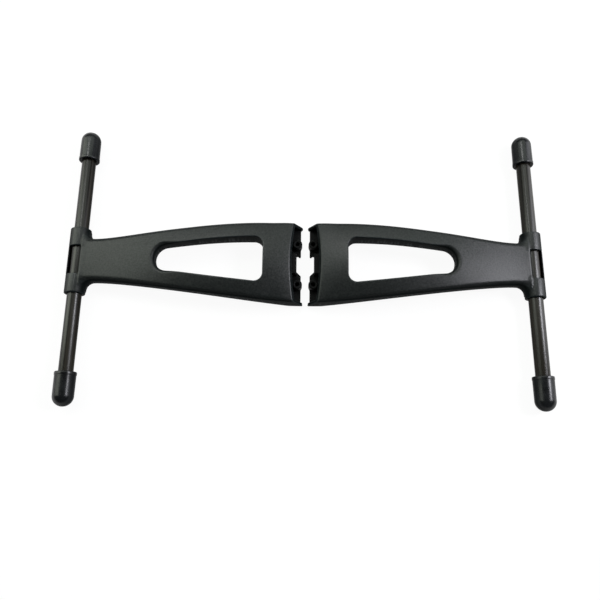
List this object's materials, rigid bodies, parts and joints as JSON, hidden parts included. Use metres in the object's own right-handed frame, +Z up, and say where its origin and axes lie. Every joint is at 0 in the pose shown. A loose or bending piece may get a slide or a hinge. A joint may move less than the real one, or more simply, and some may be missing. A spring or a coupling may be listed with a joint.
{
  "type": "drone landing gear",
  "caption": "Mirrored landing gear legs for a camera drone: arched tapered plates with a window, a clamped skid tube and push-on rubber end caps.",
  "frame": {"origin": "on the table, midway between the two legs and under the middle of the skid tubes", "axes": "+X along the legs towards the right leg's tube, +Y along the tubes away from the camera, +Z up"},
  "size_m": [0.3378, 0.2036, 0.0217],
  "materials": {
    "outer_shell_plastic": "satin, finely textured",
    "inner_shell_plastic": "matt, finely textured",
    "tube_carbon": "drawn carbon fibre, semi-gloss",
    "cap_rubber": "semi-gloss",
    "screw_steel": "plain"
  },
  "bodies": {
    "left_leg": {"left_outer_shell": "outer_shell_plastic", "left_inner_shell": "inner_shell_plastic", "left_clamp_screws": "screw_steel", "left_rail_screws": "screw_steel"},
    "left_tube": {"left_skid_tube": "tube_carbon"},
    "left_front_cap": {"left_front_cap": "cap_rubber"},
    "left_rear_cap": {"left_rear_cap": "cap_rubber"},
    "right_leg": {"right_outer_shell": "outer_shell_plastic", "right_inner_shell": "inner_shell_plastic", "right_clamp_screws": "screw_steel", "right_rail_screws": "screw_steel"},
    "right_tube": {"right_skid_tube": "tube_carbon"},
    "right_front_cap": {"right_front_cap": "cap_rubber"},
    "right_rear_cap": {"right_rear_cap": "cap_rubber"}
  },
  "joints": [
    {"name": "left_tube_slide", "type": "slide", "parent": "left_leg", "child": "left_tube", "axis": [0, 1, 0], "range_m": [-0.054, 0.054]},
    {"name": "left_front_cap_pull", "type": "slide", "parent": "left_tube", "child": "left_front_cap", "axis": [0, -1, 0], "range_m": [0, 0.03]},
    {"name": "left_rear_cap_pull", "type": "slide", "parent": "left_tube", "child": "left_rear_cap", "axis": [0, 1, 0], "range_m": [0, 0.03]},
    {"name": "right_leg_part", "type": "slide", "parent": "left_leg", "child": "right_leg", "axis": [1, 0, 0], "range_m": [0, 0.08]},
    {"name": "right_tube_slide", "type": "slide", "parent": "right_leg", "child": "right_tube", "axis": [0, 1, 0], "range_m": [-0.054, 0.054]},
    {"name": "right_front_cap_pull", "type": "slide", "parent": "right_tube", "child": "right_front_cap", "axis": [0, -1, 0], "range_m": [0, 0.03]},
    {"name": "right_rear_cap_pull", "type": "slide", "parent": "right_tube", "child": "right_rear_cap", "axis": [0, 1, 0], "range_m": [0, 0.03]}
  ]
}
